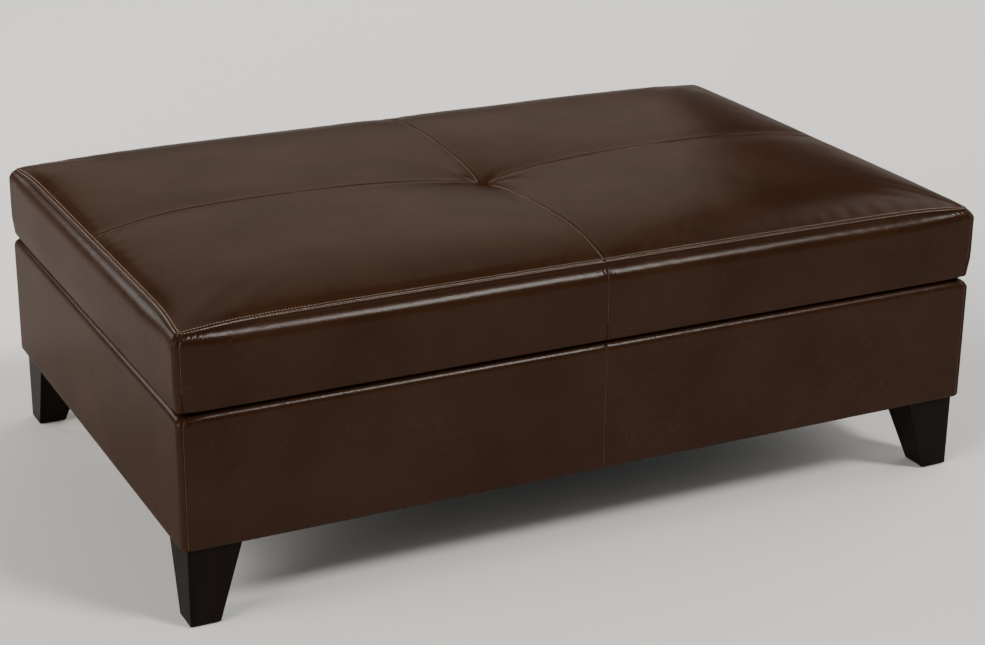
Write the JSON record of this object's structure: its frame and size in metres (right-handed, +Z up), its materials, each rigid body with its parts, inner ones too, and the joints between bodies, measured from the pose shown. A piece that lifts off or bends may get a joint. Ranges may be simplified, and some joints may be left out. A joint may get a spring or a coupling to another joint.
{
  "type": "storage ottoman",
  "caption": "Long padded storage ottoman in dark brown leather: boxed base on square tapered wood legs, tufted hinged lid held open by folding stays.",
  "frame": {"origin": "on the floor, under the middle of the ottoman", "axes": "+X along the long side to the right, +Y to the back where the hinges are, +Z up"},
  "size_m": [1.17, 0.75, 0.4196],
  "materials": {
    "leather": "gloss",
    "foam": "matte",
    "board": "matte",
    "lining": "matte",
    "leg_wood": "satin",
    "steel": "satin",
    "plastic": "matte"
  },
  "bodies": {
    "base": {"base_front_panel": "board", "base_back_panel": "board", "base_left_panel": "board", "base_right_panel": "board", "corner_blocks": "board", "floor_cleats": "board", "floor_bearer": "board", "storage_floor": "board", "base_padding": "foam", "base_cover_front_left": "leather", "base_cover_front_right": "leather", "base_cover_left": "leather", "base_cover_right": "leather", "base_cover_back": "leather", "storage_lining": "lining", "storage_floor_lining": "lining", "dust_cover": "lining", "leg_front_left": "leg_wood", "leg_front_right": "leg_wood", "leg_back_left": "leg_wood", "leg_back_right": "leg_wood", "hanger_bolts": "steel", "leg_t_nuts": "steel", "leg_glides": "plastic", "hinge_base_leaves": "steel", "hinge_pins": "steel", "hinge_base_screws": "steel", "lid_bumpers": "plastic", "stay_base_brackets": "steel", "stay_base_rivets": "steel", "stay_base_screws": "steel"},
    "lid": {"lid_deck": "board", "lid_foam": "foam", "lid_top_front_left": "leather", "lid_top_front_right": "leather", "lid_top_back_left": "leather", "lid_top_back_right": "leather", "lid_boxing_front_left": "leather", "lid_boxing_front_right": "leather", "lid_boxing_left": "leather", "lid_boxing_right": "leather", "lid_boxing_back": "leather", "lid_lining": "lining", "tuft_tie": "lining", "tuft_anchor": "plastic", "hinge_lid_leaves": "steel", "hinge_lid_screws": "steel", "stay_lid_brackets": "steel", "stay_lid_rivets": "steel", "stay_lid_screws": "steel"},
    "left_stay_arm": {"left_stay_arm": "steel", "left_knee_rivet": "steel"},
    "right_stay_arm": {"right_stay_arm": "steel", "right_knee_rivet": "steel"},
    "left_stay_link": {"left_stay_link": "steel"},
    "right_stay_link": {"right_stay_link": "steel"}
  },
  "joints": [
    {"name": "lid_hinge", "type": "hinge", "parent": "base", "child": "lid", "pos_m": [0, 0.372, 0.2885], "axis": [-1, 0, 0], "range_deg": [0, 95]},
    {"name": "left_stay_arm_pivot", "type": "hinge", "parent": "base", "child": "left_stay_arm", "pos_m": [-0.55435, 0.252, 0.1935], "axis": [-1, 0, 0], "range_deg": [0, 95]},
    {"name": "left_stay_link_pivot", "type": "hinge", "parent": "lid", "child": "left_stay_link", "pos_m": [-0.55105, 0.222, 0.2735], "axis": [-1, 0, 0], "range_deg": [-95, 0]},
    {"name": "right_stay_arm_pivot", "type": "hinge", "parent": "base", "child": "right_stay_arm", "pos_m": [0.55435, 0.252, 0.1935], "axis": [-1, 0, 0], "range_deg": [0, 95]},
    {"name": "right_stay_link_pivot", "type": "hinge", "parent": "lid", "child": "right_stay_link", "pos_m": [0.55105, 0.222, 0.2735], "axis": [-1, 0, 0], "range_deg": [-95, 0]}
  ],
  "couplings": [
    {"joint": "left_stay_arm_pivot", "follows": "lid_hinge", "ratio": 1},
    {"joint": "left_stay_link_pivot", "follows": "lid_hinge", "ratio": -1},
    {"joint": "right_stay_arm_pivot", "follows": "lid_hinge", "ratio": 1},
    {"joint": "right_stay_link_pivot", "follows": "lid_hinge", "ratio": -1}
  ]
}
